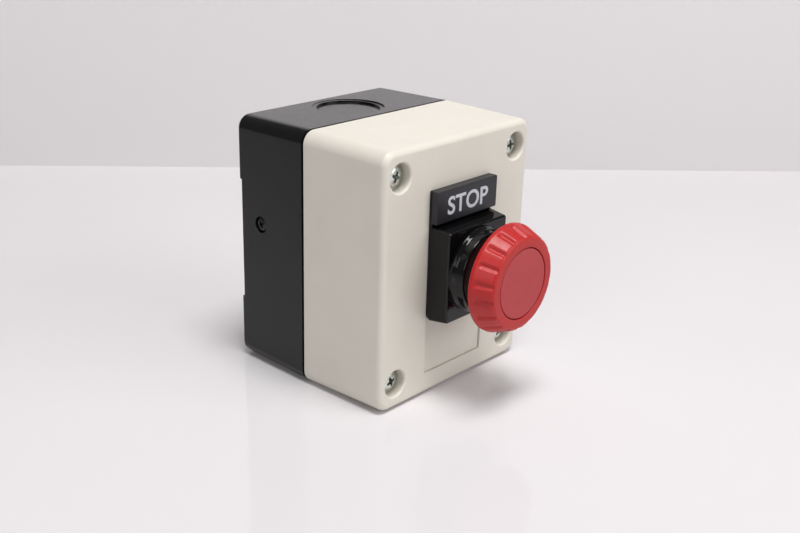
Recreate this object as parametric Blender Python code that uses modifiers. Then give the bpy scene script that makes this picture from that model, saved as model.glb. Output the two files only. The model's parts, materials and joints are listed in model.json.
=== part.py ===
"""Emergency stop station: a two-part plastic box with a red push-lock, turn-to-reset button.

World frame: +X right, +Y from the user into the box, +Z up, metres. The box stands on z = 0 and the whole
object is centred on x = 0 and y = 0. Two empties carry local frames:
  enclosure    y is the depth behind the cover's front face, z is the height
  button_axis  z points out at the user from the cover's front face, y is up; every turned piece uses it
"""

import math

import bmesh
import bpy
from mathutils import Matrix, Vector

MM = 0.001
GAP = 0.3 * MM  # between pieces that touch on the real object

# Driving dimensions of the box
WIDTH = 81 * MM
HEIGHT = 97 * MM
COVER_DEPTH = 38.5 * MM
BASE_DEPTH = 36 * MM
DEPTH = COVER_DEPTH + BASE_DEPTH
DRAFT = 0.6 * MM  # taper of the sides and top, seam to either end
CORNER_R = 5 * MM
FRONT_R = 2.6 * MM
BACK_R = 1.3 * MM
WALL = 2.5 * MM
INNER_X = 37 * MM  # half width of the cavity
INNER_LOW = 3.5 * MM
INNER_HIGH = 93.5 * MM
POST_X = 25.2 * MM  # inner edge of the corner posts
POST_Z = 13.2 * MM  # height of the corner posts
SCREW_X = 31.7 * MM
SCREW_Z = 38.2 * MM  # from mid height
COUNTERBORE_R = 5.1 * MM
COUNTERBORE_DEPTH = 5 * MM
BACK_RECESS = 1.9 * MM
BACK_RECESS_HALF = 23.9 * MM
KNOCKOUT_R = 13.9 * MM
KNOCKOUT_DISC_R = 12.2 * MM
KNOCKOUT_LEDGE = 0.3 * MM  # depth of the ledge round the disc
KNOCKOUT_DISC = 0.95 * MM  # depth of the disc
KNOCKOUT_Y = COVER_DEPTH + BASE_DEPTH / 2
EARTH_Y = 62 * MM
EARTH_Z = 57 * MM

# Driving dimensions of the button
HEAD_STANDOFF = 30 * MM  # cover face to button face
AXIS_Z = 48.8 * MM
TRAVEL = 4.5 * MM
HEAD_R = 20 * MM
FLUTES = 18
BEZEL_HALF = 16.9 * MM  # half its width, at its back
BEZEL_HIGH = 17.5 * MM  # its top above the button's axis, at its back
BEZEL_LOW = 18 * MM  # its bottom below the axis, at its back
BEZEL_DRAFT = 0.7 * MM  # how far each side draws in towards the front
BEZEL_REAR = 1.6 * MM
BEZEL_FRONT = 9.3 * MM
COLLAR_FRONT = 14.8 * MM
HOLDER_FRONT = 1.3 * MM
PLATE_FRONT = 3.7 * MM
PLATE_TOP = 30.5 * MM  # top of the legend plate above the button's axis
BARREL_R = 11 * MM
BARREL_END = -13 * MM
HOLE_R = BARREL_R + GAP
CARRIER_FRONT = -9.6 * MM
CARRIER_BACK = -21.7 * MM
CARRIER_HALF = 15 * MM

# Driving dimensions of a contact block, in its own frame: z = 0 is its front, x = +half its open side
BLOCK_X = 5.4 * MM  # block centre from the button's axis
BLOCK_HALF = 5 * MM  # half width
BLOCK_TALL = 20 * MM  # half height
BLOCK_DEPTH = 30 * MM
BLOCK_WALL = 1.2 * MM
STRIP = 1 * MM  # thickness of the terminal strips
CONTACT_TAB_Z = -10.8 * MM
SCREW_TAB_Z = -19.5 * MM
TERMINAL_Y = 13.6 * MM
RIVET_Y = 5.9 * MM
PLUNGER_BACK = -18.4 * MM

FRONT_Y = (HEAD_STANDOFF - DEPTH) / 2


# ---------------------------------------------------------------- scene and materials

for old in list(bpy.data.objects):
    bpy.data.objects.remove(old)


def collection(name):
    made = bpy.data.collections.new(name)
    bpy.context.scene.collection.children.link(made)
    return made


PARTS = collection("emergency_stop_station")
CUTTERS = collection("cutters")
CUTTERS.hide_render = True


def empty(name, location, rotation=(0, 0, 0), parent=None):
    frame = bpy.data.objects.new(name, None)
    PARTS.objects.link(frame)
    frame.parent = parent
    frame.location = location
    frame.rotation_euler = rotation
    return frame


ENCLOSURE = empty("enclosure", (0, FRONT_Y, 0))
BUTTON = empty("button_axis", (0, FRONT_Y, AXIS_Z), (math.pi / 2, 0, 0))


def material(name, colour, roughness, metallic=0.0):
    made = bpy.data.materials.new(name)
    made.use_nodes = True
    surface = made.node_tree.nodes["Principled BSDF"]
    surface.inputs["Base Color"].default_value = (*colour, 1)
    surface.inputs["Roughness"].default_value = roughness
    surface.inputs["Metallic"].default_value = metallic
    return made


CREAM = material("cream_abs", (0.72, 0.69, 0.60), 0.45)
BLACK = material("black_abs", (0.022, 0.022, 0.024), 0.35)
GLOSS_BLACK = material("gloss_black_nylon", (0.012, 0.012, 0.014), 0.15)
LEGEND = material("legend_grey", (0.035, 0.036, 0.045), 0.5)
RED = material("red_abs", (0.60, 0.018, 0.022), 0.3)
RED_MATTE = material("red_matte", (0.52, 0.055, 0.065), 0.6)
WHITE = material("white_acetal", (0.80, 0.80, 0.78), 0.4)
GREEN = material("green_nylon", (0.03, 0.30, 0.08), 0.4)
RUBBER = material("rubber", (0.02, 0.02, 0.02), 0.8)
ZINC = material("zinc_plated_steel", (0.62, 0.64, 0.62), 0.3, 1.0)
BLACK_ZINC = material("black_zinc_steel", (0.06, 0.06, 0.065), 0.35, 1.0)
SPRING_STEEL = material("spring_steel", (0.45, 0.46, 0.48), 0.25, 1.0)
BRASS = material("brass", (0.75, 0.55, 0.22), 0.3, 1.0)


# ---------------------------------------------------------------- modelling helpers


def place(name, data, look, parent, location=(0, 0, 0), rotation=(0, 0, 0)):
    """A named piece in the parts collection. With no look it is a cutter."""
    made = bpy.data.objects.new(name, data)
    if look:
        PARTS.objects.link(made)
        if not data.materials:
            data.materials.append(look)
    else:
        CUTTERS.objects.link(made)
        made.hide_render = True
        made.display_type = "WIRE"
    made.parent = parent
    made.location = location
    made.rotation_euler = rotation
    return made


def mesh_from(name, bm):
    data = bpy.data.meshes.new(name)
    if bm.calc_volume(signed=True) < 0:
        bmesh.ops.reverse_faces(bm, faces=bm.faces)
    bm.to_mesh(data)
    bm.free()
    return data


def box_bmesh(low, high, round_axis=None, radius=0.0, segments=3):
    """A box between two corners; the four edges along round_axis are rounded."""
    bm = bmesh.new()
    bmesh.ops.create_cube(bm, size=1.0)
    low, high = Vector(low), Vector(high)
    for vertex in bm.verts:
        vertex.co = [low[i] + (high[i] - low[i]) * (vertex.co[i] + 0.5) for i in range(3)]
    if round_axis is not None:
        length = high[round_axis] - low[round_axis]
        along = [e for e in bm.edges if abs(span(e, round_axis)) > 0.9 * length]
        round_edges(bm, along, radius, segments)
    return bm


def span(edge, axis):
    return edge.verts[0].co[axis] - edge.verts[1].co[axis]


def round_edges(bm, edges, radius, segments):
    bmesh.ops.bevel(
        bm, geom=edges, offset=radius, offset_type="OFFSET", segments=segments, profile=0.5, affect="EDGES"
    )


def box(name, low, high, look, parent, round_axis=None, radius=0.0, segments=3):
    bm = box_bmesh(low, high, round_axis, radius, segments)
    return place(name, mesh_from(name, bm), look, parent)


def cylinder(name, radius, start, end, look, parent, segments=24):
    """A cylinder between two points of the parent's frame."""
    start, end = Vector(start), Vector(end)
    bm = bmesh.new()
    length = (end - start).length
    bmesh.ops.create_cone(
        bm, cap_ends=True, segments=segments, radius1=radius, radius2=radius, depth=length
    )
    turn = (end - start).to_track_quat("Z", "Y").to_matrix().to_4x4()
    bm.transform(Matrix.Translation((start + end) / 2) @ turn)
    return place(name, mesh_from(name, bm), look, parent)


def turned(name, profile, look, parent, segments=32, location=(0, 0, 0), rotation=(0, 0, 0)):
    """A shape turned about its z axis. profile holds (radius, height) and runs down the outer side.
    It closes on itself unless both its ends lie on the axis."""
    points = [(radius, 0, height) for radius, height in profile]
    edges = [(i, i + 1) for i in range(len(points) - 1)]
    if profile[0][0] > 0:
        edges.append((len(points) - 1, 0))
    data = bpy.data.meshes.new(name)
    data.from_pydata(points, edges, [])
    made = place(name, data, look, parent, location, rotation)
    screw = made.modifiers.new("turn", "SCREW")
    screw.steps = screw.render_steps = segments
    screw.use_merge_vertices = True
    screw.merge_threshold = 1e-6
    screw.use_smooth_shade = False
    return made


def ring(name, inner, outer, low, high, look, parent, segments=32):
    profile = [(outer, high), (outer, low), (inner, low), (inner, high)]
    return turned(name, profile, look, parent, segments)


def boolean(target, other, operation):
    step = target.modifiers.new(other.name, "BOOLEAN")
    step.operation = operation
    step.object = other
    step.solver = "EXACT"


def cut(target, *cutters):
    for cutter in cutters:
        boolean(target, cutter, "DIFFERENCE")
    return target


def join(target, *others):
    for other in others:
        boolean(target, other, "UNION")
    return target


def baked(made):
    """The evaluated mesh of a helper object, which is then removed."""
    bpy.context.view_layer.update()
    graph = bpy.context.evaluated_depsgraph_get()
    data = bpy.data.meshes.new_from_object(made.evaluated_get(graph))
    data.name = made.name
    bpy.data.objects.remove(made)
    return data


def coil(name, radius, wire_r, low, high, turns, parent, per_turn=12, centre=(0, 0)):
    """A compression spring along z between two heights."""
    count = round(turns * per_turn)
    curve = bpy.data.curves.new(name, "CURVE")
    curve.dimensions = "3D"
    spline = curve.splines.new("POLY")
    spline.points.add(count)
    for i, point in enumerate(spline.points):
        angle = 2 * math.pi * i / per_turn
        height = low + wire_r + (high - low - 2 * wire_r) * i / count
        point.co = (centre[0] + radius * math.cos(angle), centre[1] + radius * math.sin(angle), height, 1)
    curve.bevel_depth = wire_r
    curve.bevel_resolution = 2
    curve.use_fill_caps = True
    return place(name, curve, SPRING_STEEL, parent)


def cross_screw_mesh(name, head_r, head_h, shank_r, length, segments=16, look=ZINC):
    """A pan-head screw with a cross recess: seat at z = 0, head above it, shank below."""
    profile = [
        (0, head_h),
        (0.62 * head_r, head_h),
        (0.92 * head_r, 0.78 * head_h),
        (head_r, 0.4 * head_h),
        (head_r, 0),
        (shank_r, 0),
        (shank_r, -length + shank_r / 2),
        (0.6 * shank_r, -length),
        (0, -length),
    ]
    screw = turned(name, profile, look, None, segments)
    arm, half, floor = 0.55 * head_r, 0.13 * head_r, 0.35 * head_h
    bars = [
        box(name + "_bar_x", (-arm, -half, floor), (arm, half, 2 * head_h), None, None),
        box(name + "_bar_y", (-half, -arm, floor), (half, arm, 2 * head_h), None, None),
    ]
    data = baked(cut(screw, *bars))
    for bar in bars:
        bpy.data.objects.remove(bar)
    return data


# ---------------------------------------------------------------- enclosure


def drafted_shell(name, seam_y, end_y, end_r, look):
    """A rounded box from the seam to an end. Its sides and top draw in by DRAFT; its bottom stays flat."""
    bm = box_bmesh((-WIDTH / 2, min(seam_y, end_y), 0), (WIDTH / 2, max(seam_y, end_y), HEIGHT))
    for vertex in bm.verts:
        if abs(vertex.co.y - end_y) < MM:
            vertex.co.x -= math.copysign(DRAFT, vertex.co.x)
            if vertex.co.z > HEIGHT / 2:
                vertex.co.z -= DRAFT
    along = [e for e in bm.edges if abs(span(e, 1)) > MM]
    round_edges(bm, along, CORNER_R, 5)
    rim = [e for e in bm.edges if all(abs(v.co.y - end_y) < 0.01 * MM for v in e.verts)]
    round_edges(bm, rim, end_r, 3)
    return place(name, mesh_from(name, bm), look, ENCLOSURE)


def cavity(name, low_y, high_y):
    """Two crossed boxes, which leave a square post in each corner."""
    wide = box(
        name + "_wide",
        (-INNER_X, low_y, INNER_LOW + POST_Z),
        (INNER_X, high_y, INNER_HIGH - POST_Z),
        None,
        ENCLOSURE,
    )
    tall = box(
        name + "_tall", (-POST_X, low_y, INNER_LOW), (POST_X, high_y, INNER_HIGH), None, ENCLOSURE
    )
    return wide, tall


def screw_places():
    return [(x * SCREW_X, HEIGHT / 2 + z * SCREW_Z) for x in (-1, 1) for z in (-1, 1)]


def along_y(name, radius, x, z, low_y, high_y, segments=20):
    """A round cutter that runs through the box from front to back."""
    return cylinder(name, radius, (x, low_y, z), (x, high_y, z), None, ENCLOSURE, segments)


def front_cover():
    cover = drafted_shell("front_cover", COVER_DEPTH - GAP / 2, 0, FRONT_R, CREAM)
    cut(cover, *cavity("cover_cavity", WALL, COVER_DEPTH + WALL))
    for i, (x, z) in enumerate(screw_places(), 1):
        counterbore = along_y(f"counterbore_{i}", COUNTERBORE_R, x, z, -MM, COUNTERBORE_DEPTH)
        clearance = along_y(f"screw_clearance_{i}", 2.4 * MM, x, z, MM, COVER_DEPTH + MM, 16)
        cut(cover, counterbore, clearance)
    cut(cover, along_y("button_hole", HOLE_R, 0, AXIS_Z, -MM, WALL + MM, 32))
    label_low, label_high = (-16.2 * MM, -MM, 8.9 * MM), (16.2 * MM, 0.4 * MM, 27 * MM)
    cut(cover, box("label_recess", label_low, label_high, None, ENCLOSURE, 1, 0.6 * MM, 2))


def rim_groove(name, outer, inner, low_y, high_y, look):
    """A rounded rectangular ring round the seam; outer and inner are distances in from the box's sides."""

    def loop(part, inset, low, high, loop_look):
        return box(
            part,
            (-WIDTH / 2 + inset, low, inset),
            (WIDTH / 2 - inset, high, HEIGHT - inset),
            loop_look,
            ENCLOSURE,
            1,
            CORNER_R - inset,
            4,
        )

    body = loop(name, outer, low_y, high_y, look)
    return cut(body, loop(name + "_inside", inner, low_y - MM, high_y + MM, None))


def rear_base():
    seam = COVER_DEPTH + GAP / 2
    base = drafted_shell("rear_base", seam, DEPTH, BACK_R, BLACK)
    inner_back = DEPTH - BACK_RECESS - 2.3 * MM
    cut(base, *cavity("base_cavity", seam - MM, inner_back))
    cut(base, rim_groove("gasket_groove", 1 * MM, 2.6 * MM, seam - MM, seam + 1.8 * MM, None))
    for i, (x, z) in enumerate(screw_places(), 1):
        cut(base, along_y(f"insert_pocket_{i}", 3.7 * MM, x, z, seam - MM, seam + 13 * MM))
    low = (-WIDTH, DEPTH - BACK_RECESS, HEIGHT / 2 - BACK_RECESS_HALF)
    high = (WIDTH, DEPTH + MM, HEIGHT / 2 + BACK_RECESS_HALF)
    cut(base, box("back_recess", low, high, None, ENCLOSURE))
    for i, z in enumerate((12.5 * MM, HEIGHT - 12.5 * MM), 1):
        skin = inner_back + 0.8 * MM  # left closed, to be pierced when the box is screwed to a wall
        cut(base, along_y(f"wall_screw_hole_{i}", 2.4 * MM, 0, z, skin, DEPTH + MM, 16))
    for side, face, step in (("top", HEIGHT - DRAFT / 2, -1), ("bottom", 0, 1)):
        steps = (("ledge", KNOCKOUT_R, KNOCKOUT_LEDGE), ("disc", KNOCKOUT_DISC_R, KNOCKOUT_DISC))
        for part, radius, depth in steps:
            ends = [(0, KNOCKOUT_Y, face + step * depth), (0, KNOCKOUT_Y, face - step * MM)]
            cut(base, cylinder(f"{side}_knockout_{part}", radius, *ends, None, ENCLOSURE, 36))
    sink = [(-WIDTH, EARTH_Y, EARTH_Z), (-38.3 * MM, EARTH_Y, EARTH_Z), (-INNER_X + MM, EARTH_Y, EARTH_Z)]
    cut(base, cylinder("earth_screw_sink", 3.2 * MM, sink[0], sink[1], None, ENCLOSURE, 16))
    cut(base, cylinder("earth_screw_hole", 1.8 * MM, sink[0], sink[2], None, ENCLOSURE, 12))


def enclosure_hardware():
    seam = COVER_DEPTH + GAP / 2
    rim_groove("cover_gasket", 1.3 * MM, 2.3 * MM, seam, seam + 1.5 * MM, RUBBER)
    screw = cross_screw_mesh("cover_screw", 3.9 * MM, 2.4 * MM, 2 * MM, 44.8 * MM)
    into_box = (math.pi / 2, 0, 0)
    insert_low, insert_high = -9.3 * MM, -0.3 * MM
    for i, (x, z) in enumerate(screw_places(), 1):
        seat = (x, COUNTERBORE_DEPTH - GAP, z)
        place(f"cover_screw_{i}", screw, ZINC, ENCLOSURE, seat, into_box)
        insert = [
            (3.4 * MM, insert_high),
            (3.4 * MM, insert_low),
            (2.3 * MM, insert_low),
            (2.3 * MM, insert_high),
        ]
        pocket = (x, seam + 2 * MM, z)
        turned(f"threaded_insert_{i}", insert, BRASS, ENCLOSURE, 16, pocket, into_box)
    earth = cross_screw_mesh("earth_screw", 2.9 * MM, 1.3 * MM, 1.5 * MM, 7.5 * MM, look=BLACK_ZINC)
    seat = (-38.6 * MM, EARTH_Y, EARTH_Z)
    place("earth_screw", earth, BLACK_ZINC, ENCLOSURE, seat, (0, -math.pi / 2, 0))
    low = (GAP - INNER_X, EARTH_Y - 4 * MM, EARTH_Z - 4 * MM)
    high = (3.3 * MM - INNER_X, EARTH_Y + 4 * MM, EARTH_Z + 4 * MM)
    terminal = box("earth_terminal", low, high, BRASS, ENCLOSURE)
    ends = [(-39 * MM, EARTH_Y, EARTH_Z), (-32 * MM, EARTH_Y, EARTH_Z)]
    cut(terminal, cylinder("earth_terminal_hole", 1.8 * MM, *ends, None, ENCLOSURE, 12))


# ---------------------------------------------------------------- button, fixed pieces


def bezel_housing():
    """A tapered square bezel, a conical collar and the barrel behind them, with one stepped bore."""
    profile = [
        (14 * MM, COLLAR_FRONT),
        (14.65 * MM, COLLAR_FRONT - 0.6 * MM),
        (15.2 * MM, COLLAR_FRONT - 3.4 * MM),
        (15.9 * MM, BEZEL_FRONT + MM),
        (15.9 * MM, BEZEL_REAR + 0.6 * MM),
        (BARREL_R, BEZEL_REAR + 0.6 * MM),
        (BARREL_R, BARREL_END),
        (8.5 * MM, BARREL_END),
        (8.5 * MM, 8.5 * MM),
        (6.9 * MM, 8.5 * MM),
        (6.9 * MM, 9.8 * MM),
        (12.6 * MM, 9.8 * MM),
        (12.6 * MM, COLLAR_FRONT),
    ]
    housing = turned("bezel_housing", profile, GLOSS_BLACK, BUTTON)
    low, high = (-BEZEL_HALF, -BEZEL_LOW, BEZEL_REAR), (BEZEL_HALF, BEZEL_HIGH, BEZEL_FRONT)
    bm = box_bmesh(low, high, 2, 1.2 * MM, 3)
    for vertex in bm.verts:
        if vertex.co.z > BEZEL_FRONT - MM:
            vertex.co.x *= 1 - BEZEL_DRAFT / BEZEL_HALF
            vertex.co.y *= 1 - BEZEL_DRAFT / BEZEL_HIGH
    rim = [e for e in bm.edges if all(v.co.z > BEZEL_FRONT - 0.01 * MM for v in e.verts)]
    round_edges(bm, rim, 0.7 * MM, 2)
    square = place("bezel_square", mesh_from("bezel_square", bm), None, BUTTON)
    hole = [(0, 0, BEZEL_REAR - MM), (0, 0, BEZEL_FRONT + MM)]
    cut(square, cylinder("bezel_square_hole", 13.5 * MM, *hole, None, BUTTON, 32))
    join(housing, square)


def nameplate():
    """The holder plate behind the bezel, and the legend plate that clips on above it."""
    bm = box_bmesh((-16.6 * MM, -18.5 * MM, GAP), (16.6 * MM, PLATE_TOP, HOLDER_FRONT))
    for above, radius in ((True, 0.6 * MM), (False, 3 * MM)):
        upright = [e for e in bm.edges if abs(span(e, 2)) > GAP and (e.verts[0].co.y > 0) == above]
        round_edges(bm, upright, radius, 3)
    holder = place("nameplate_holder", mesh_from("nameplate_holder", bm), BLACK, BUTTON)
    cut(holder, cylinder("holder_hole", 14.9 * MM, (0, 0, -MM), (0, 0, 3 * MM), None, BUTTON, 32))
    low, high = (-16.8 * MM, 18.6 * MM, HOLDER_FRONT + GAP), (16.8 * MM, PLATE_TOP, PLATE_FRONT)
    bm = box_bmesh(low, high, 2, 0.6 * MM, 2)
    rim = [e for e in bm.edges if all(v.co.z > PLATE_FRONT - 0.01 * MM for v in e.verts)]
    round_edges(bm, rim, 0.6 * MM, 1)
    place("legend_plate", mesh_from("legend_plate", bm), LEGEND, BUTTON)


def panel_fixings():
    """What clamps the bezel to the cover: gasket in front, toothed washer and hexagonal nut behind."""
    ring("panel_gasket", BARREL_R + 2 * GAP, 14.5 * MM, GAP, BEZEL_REAR - GAP, RUBBER, BUTTON)
    ring("lock_washer", HOLE_R, 14.8 * MM, -3.6 * MM, -WALL - GAP, ZINC, BUTTON)
    nut = cylinder("mounting_nut", 15.6 * MM, (0, 0, -9.2 * MM), (0, 0, -3.9 * MM), BLACK, BUTTON, 6)
    cut(nut, cylinder("nut_bore", HOLE_R, (0, 0, -11 * MM), (0, 0, -2 * MM), None, BUTTON, 32))


def latch_clip():
    """A hairpin of spring wire in the collar's cup, whose legs straddle the button's hub."""
    leg_x, wire_r, height = 7.1 * MM, 0.45 * MM, 10.6 * MM
    arc = [math.pi * i / 8 for i in range(9)]
    bend = [(leg_x * math.cos(angle), leg_x * math.sin(angle)) for angle in arc]
    points = [(leg_x, -5 * MM), *bend, (-leg_x, -5 * MM)]
    curve = bpy.data.curves.new("latch_clip", "CURVE")
    curve.dimensions = "3D"
    spline = curve.splines.new("POLY")
    spline.points.add(len(points) - 1)
    for point, (x, y) in zip(spline.points, points):
        point.co = (x, y, height, 1)
    curve.bevel_depth = wire_r
    curve.bevel_resolution = 2
    curve.use_fill_caps = True
    place("latch_clip", curve, SPRING_STEEL, BUTTON)


def barrel_pieces():
    ring("stem_seal", 6.6 * MM, 12.3 * MM, 11.6 * MM, 13.4 * MM, RUBBER, BUTTON)
    ring("barrel_bush", 4.8 * MM, 8.2 * MM, -12.8 * MM, -10.2 * MM, WHITE, BUTTON, 24)
    coil("return_spring", 6.4 * MM, 0.5 * MM, -9.9 * MM, 5.3 * MM, 5.5, BUTTON)


# ---------------------------------------------------------------- button, moving pieces


def mushroom_head():
    """The fluted shell with its hub. A recess in front takes the cap, and a pocket the screw."""
    face = HEAD_STANDOFF
    rim_back, floor, web = 20.9 * MM, face - 2.5 * MM, face - 5 * MM
    profile = [
        (13.2 * MM, face),
        (16.2 * MM, face),
        (17.2 * MM, face - 0.5 * MM),
        (17.6 * MM, face - 1.3 * MM),
        (19.8 * MM, rim_back + 2.2 * MM),
        (HEAD_R, rim_back + 1.1 * MM),
        (19.6 * MM, rim_back + 0.2 * MM),
        (18.8 * MM, rim_back),
        (17.6 * MM, rim_back + 0.3 * MM),
        (15.8 * MM, web),
        (6.2 * MM, web),
        (6.2 * MM, 10.8 * MM),
        (4.5 * MM, 10.8 * MM),
        (4.5 * MM, web - 0.2 * MM),
        (1.8 * MM, web - 0.2 * MM),
        (1.8 * MM, floor - 1.5 * MM),
        (3.3 * MM, floor - 1.5 * MM),
        (3.3 * MM, floor),
        (13.2 * MM, floor),
    ]
    head = turned("mushroom_head", profile, RED, BUTTON, 3 * FLUTES)
    cut(head, flutes(Vector((19.15 * MM, 0, 23.6 * MM)), Vector((17.5 * MM, 0, 29.7 * MM))))


def flutes(start, end):
    """Round cutters laid along the head's cone, all in one mesh."""
    flute_r, depth = 1.5 * MM, 0.75 * MM
    slope = (end - start).normalized()
    outward = Vector((slope.z, 0, -slope.x))
    centre = (start + end) / 2 + outward * (flute_r - depth)
    lay = Matrix.Translation(centre) @ slope.to_track_quat("Z", "Y").to_matrix().to_4x4()
    bm = bmesh.new()
    for i in range(FLUTES):
        turn = Matrix.Rotation(2 * math.pi * (i + 0.5) / FLUTES, 4, "Z")
        bmesh.ops.create_cone(
            bm,
            cap_ends=True,
            segments=12,
            radius1=flute_r,
            radius2=flute_r,
            depth=(end - start).length,
            matrix=turn @ lay,
        )
    return place("flutes", mesh_from("flutes", bm), None, BUTTON)


def head_pieces():
    floor = HEAD_STANDOFF - 2.5 * MM
    disc = [(0, HEAD_STANDOFF - 0.1 * MM), (12.5 * MM, HEAD_STANDOFF - 0.1 * MM)]
    disc += [(12.8 * MM, HEAD_STANDOFF - 0.4 * MM), (12.8 * MM, floor + GAP), (0, floor + GAP)]
    turned("head_cap", disc, RED_MATTE, BUTTON, 48)
    screw = cross_screw_mesh("head_screw", 2.9 * MM, 0.9 * MM, 1.5 * MM, 10 * MM)
    place("head_screw", screw, ZINC, BUTTON, (0, 0, floor - 1.2 * MM))
    cam = ring("latch_cam", 4.5 * MM, 6.2 * MM, 8.5 * MM, 10.5 * MM, WHITE, BUTTON, 24)
    for side in (-1, 1):
        low, high = (-8 * MM, side * 5.6 * MM, 8 * MM), (8 * MM, side * 8 * MM, 11 * MM)
        if side < 0:
            low, high = (low[0], high[1], low[2]), (high[0], low[1], high[2])
        cut(cam, box(f"latch_cam_flat_{side}", low, high, None, BUTTON))


def stem_pieces():
    top, back = 24.5 * MM, -14.6 * MM
    profile = [
        (0, 15 * MM),
        (1.8 * MM, 15 * MM),
        (1.8 * MM, top),
        (4.2 * MM, top),
        (4.2 * MM, 8.2 * MM),
        (8.1 * MM, 8.2 * MM),
        (8.1 * MM, 5.6 * MM),
        (4.4 * MM, 5.6 * MM),
        (4.4 * MM, back),
        (0, back),
    ]
    turned("actuator_stem", profile, WHITE, BUTTON, 24)
    disc = [(0, back - GAP), (7.6 * MM, back - GAP), (7.6 * MM, -17 * MM), (0, -17 * MM)]
    turned("pusher_disc", disc, WHITE, BUTTON, 24)


# ---------------------------------------------------------------- contact blocks


def contact_carrier():
    low, high = (-CARRIER_HALF, -CARRIER_HALF, CARRIER_BACK), (CARRIER_HALF, CARRIER_HALF, CARRIER_FRONT)
    carrier = box("contact_carrier", low, high, BLACK, BUTTON, 2, 2 * MM, 2)
    socket_end = BARREL_END - GAP
    socket = [(0, 0, socket_end), (0, 0, CARRIER_FRONT + MM)]
    cut(carrier, cylinder("carrier_socket", HOLE_R, *socket, None, BUTTON, 32))
    well = [(0, 0, CARRIER_BACK - MM), (0, 0, CARRIER_FRONT)]
    cut(carrier, cylinder("carrier_well", 8.4 * MM, *well, None, BUTTON, 24))
    axis = -12.1 * MM
    hole = [(0, 10 * MM, axis), (0, CARRIER_HALF + MM, axis)]
    cut(carrier, cylinder("carrier_screw_hole", 1.7 * MM, *hole, None, BUTTON, 12))
    screw = cross_screw_mesh("carrier_screw", 2.4 * MM, 1.6 * MM, 1.4 * MM, 3.7 * MM, 12)
    place("carrier_screw", screw, ZINC, BUTTON, (0, CARRIER_HALF + GAP, axis), (-math.pi / 2, 0, 0))


def at_end(end, near, far):
    """The y range of something at one end of a block; end is -1 or 1."""
    return sorted((end * near, end * far))


def block_housing(prefix, frame):
    inner, side = -BLOCK_HALF + BLOCK_WALL, BLOCK_HALF + MM
    low, high = (-BLOCK_HALF, -BLOCK_TALL, -BLOCK_DEPTH), (BLOCK_HALF, BLOCK_TALL, 0)
    housing = box(prefix + "_housing", low, high, BLACK, frame)
    chamber = (inner, -7.5 * MM, -BLOCK_DEPTH + BLOCK_WALL), (side, 7.5 * MM, -BLOCK_WALL)
    cut(housing, box(prefix + "_chamber", *chamber, None, frame))
    window = (-2.3 * MM, -2.8 * MM, -2 * MM), (2.3 * MM, 2.8 * MM, MM)
    cut(housing, box(prefix + "_plunger_window", *window, None, frame))
    for end in (-1, 1):
        near, far = at_end(end, 8.7 * MM, BLOCK_TALL + 2 * MM)
        pocket = (inner, near, -BLOCK_DEPTH - MM), (side, far, SCREW_TAB_Z + GAP)
        near, far = at_end(end, 8.7 * MM, 10.3 * MM)
        shaft = (-2.4 * MM, near, SCREW_TAB_Z - MM), (2.4 * MM, far, CONTACT_TAB_Z + GAP)
        near, far = at_end(end, 7 * MM, 9.2 * MM)
        slot = (-2.4 * MM, near, CONTACT_TAB_Z - STRIP - GAP), (2.4 * MM, far, CONTACT_TAB_Z + GAP)
        for part, corners in (("pocket", pocket), ("shaft", shaft), ("slot", slot)):
            cut(housing, box(f"{prefix}_{part}_{end}", *corners, None, frame))
        tip = end * TERMINAL_Y
        hole = [(0, tip, SCREW_TAB_Z - MM), (0, tip, SCREW_TAB_Z + 4.5 * MM)]
        cut(housing, cylinder(f"{prefix}_screw_hole_{end}", 2 * MM, *hole, None, frame, 12))
        near, far = at_end(end, CARRIER_HALF + GAP, CARRIER_HALF + 1.6 * MM)
        hook = (-2 * MM, near, -MM), (2 * MM, far, 5 * MM)
        join(housing, box(f"{prefix}_hook_{end}", *hook, None, frame))
    cover_x = BLOCK_HALF + GAP
    low, high = (cover_x, -BLOCK_TALL, -BLOCK_DEPTH), (cover_x + MM, BLOCK_TALL, 0)
    box(prefix + "_side_cover", low, high, BLACK, frame)


def terminal_strip(name, frame, end):
    """A brass strip bent twice: contact tab, riser, screw tab."""
    near, riser, far = 4.4 * MM, 10 * MM, 17.5 * MM
    outline = [(near, CONTACT_TAB_Z), (riser, CONTACT_TAB_Z), (riser, SCREW_TAB_Z), (far, SCREW_TAB_Z)]
    outline += [(far, SCREW_TAB_Z - STRIP), (riser - STRIP, SCREW_TAB_Z - STRIP)]
    outline += [(riser - STRIP, CONTACT_TAB_Z - STRIP), (near, CONTACT_TAB_Z - STRIP)]
    curve = bpy.data.curves.new(name, "CURVE")
    curve.dimensions = "2D"
    curve.fill_mode = "BOTH"
    curve.extrude = 2.1 * MM
    spline = curve.splines.new("POLY")
    spline.points.add(len(outline) - 1)
    spline.use_cyclic_u = True
    for point, (along, height) in zip(spline.points, outline):
        point.co = (along, height, 0, 1)
    data = baked(place(name, curve, BRASS, None))
    bm = bmesh.new()
    bm.from_mesh(data)
    bmesh.ops.remove_doubles(bm, verts=bm.verts, dist=0.01 * MM)
    bm.transform(Matrix(((0, 0, end), (end, 0, 0), (0, 1, 0))).to_4x4())
    return place(name, mesh_from(name, bm), BRASS, frame)


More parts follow.
